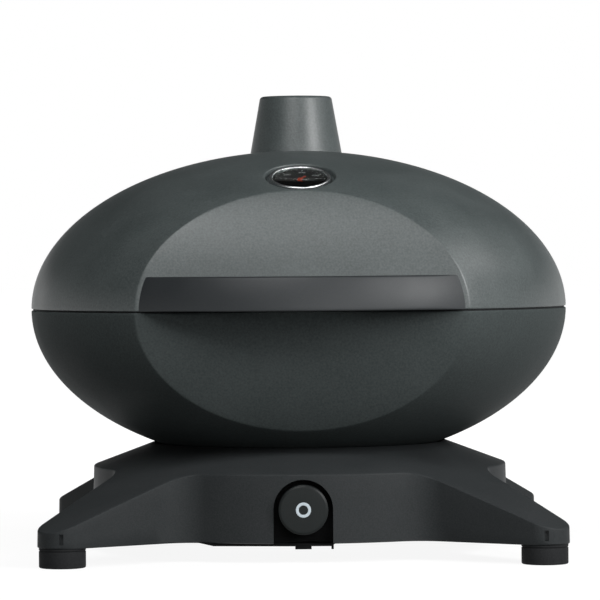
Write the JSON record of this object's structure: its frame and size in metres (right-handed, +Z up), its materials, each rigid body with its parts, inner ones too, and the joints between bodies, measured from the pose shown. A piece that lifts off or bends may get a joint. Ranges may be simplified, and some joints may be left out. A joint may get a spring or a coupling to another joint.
{
  "type": "countertop gas grill",
  "caption": "Round egg-shaped countertop gas grill with a hinged lid, bar handle, chimney, lid thermometer, control knob, drip tray and a sloped base on legs with rubber feet.",
  "frame": {"origin": "on the surface the feet stand on, under the middle of the body", "axes": "+Z up, the front with handle and knob faces -Y, +X to the right seen from the front"},
  "size_m": [0.4798, 0.4759, 0.409],
  "materials": {
    "cast_coat": "cast aluminium under a dark grey, finely textured powder coat",
    "handle_satin": "satin near-black moulded resin",
    "base_moulding": "black moulded resin with a fine texture",
    "knob_plastic": "black satin moulded resin",
    "off_mark": "white inlaid ring",
    "foot_rubber": "black rubber",
    "gasket_rubber": "black heat-proof silicone",
    "grate_iron": "enamelled cast iron",
    "sheet_steel": "plain sheet steel",
    "burner_steel": "stainless steel tube, dulled by heat",
    "bracket_black": "black painted sheet steel",
    "screw_steel": "zinc-plated steel",
    "valve_brass": "turned brass",
    "igniter_ceramic": "glazed white ceramic",
    "bezel_chrome": "polished chrome",
    "dial_black": "matt black printed dial",
    "needle_red": "orange-red paint",
    "dial_glass": "clear flat glass"
  },
  "bodies": {
    "base": {"base_housing": "base_moulding", "foot_1": "foot_rubber", "foot_2": "foot_rubber", "foot_3": "foot_rubber", "foot_4": "foot_rubber", "foot_screw_1": "screw_steel", "foot_screw_2": "screw_steel", "foot_screw_3": "screw_steel", "foot_screw_4": "screw_steel", "heat_shield": "sheet_steel", "shield_screw_1": "screw_steel", "shield_screw_2": "screw_steel", "shield_screw_3": "screw_steel", "shield_screw_4": "screw_steel", "bowl_screw_1": "screw_steel", "bowl_screw_2": "screw_steel", "bowl_screw_3": "screw_steel", "valve_bracket": "bracket_black", "valve_body": "valve_brass", "gas_jet": "valve_brass", "gas_pipe": "sheet_steel", "gas_inlet": "valve_brass", "tray_rail_left": "sheet_steel", "tray_rail_right": "sheet_steel", "bowl_shell": "cast_coat", "bowl_gasket": "gasket_rubber", "bowl_hinge": "cast_coat", "hinge_pin": "screw_steel", "bowl_hinge_screw_1": "screw_steel", "bowl_hinge_screw_2": "screw_steel", "venturi": "burner_steel", "burner_ring": "burner_steel", "burner_post_1": "burner_steel", "burner_post_2": "burner_steel", "burner_post_3": "burner_steel", "igniter": "igniter_ceramic", "heat_diffuser": "sheet_steel", "grate_left": "grate_iron", "grate_right": "grate_iron"},
    "lid": {"lid_shell": "cast_coat", "chimney": "cast_coat", "chimney_ring": "sheet_steel", "handle": "handle_satin", "handle_screw_left": "screw_steel", "handle_screw_right": "screw_steel", "lid_hinge": "cast_coat", "lid_hinge_screw_1": "screw_steel", "lid_hinge_screw_2": "screw_steel", "thermo_case": "bezel_chrome", "thermo_dial": "dial_black", "thermo_glass": "dial_glass", "thermo_stem": "screw_steel", "thermo_nut": "screw_steel"},
    "needle": {"thermo_needle": "needle_red"},
    "plunger": {"valve_plunger": "valve_brass"},
    "knob": {"knob": "knob_plastic", "knob_mark": "off_mark", "knob_stem": "screw_steel"},
    "tray": {"drip_tray": "sheet_steel"}
  },
  "joints": [
    {"name": "lid_open", "type": "hinge", "parent": "base", "child": "lid", "pos_m": [0, 0.2295, 0.216], "axis": [-1, 0, 0], "range_deg": [0, 90]},
    {"name": "needle_turn", "type": "hinge", "parent": "lid", "child": "needle", "pos_m": [0, -0.133, 0.33337], "axis": [0, 0.3643, -0.9313], "range_deg": [0, 250], "stiffness_Nm_per_rad": 0.002},
    {"name": "knob_press", "type": "slide", "parent": "base", "child": "plunger", "axis": [0, 1, 0], "range_m": [0, 0.003], "stiffness_N_per_m": 1500},
    {"name": "knob_turn", "type": "hinge", "parent": "plunger", "child": "knob", "pos_m": [0, -0.18, 0.0465], "axis": [0, -1, 0], "range_deg": [0, 220]},
    {"name": "tray_slide", "type": "slide", "parent": "base", "child": "tray", "axis": [0, 1, 0], "range_m": [0, 0.15]}
  ]
}
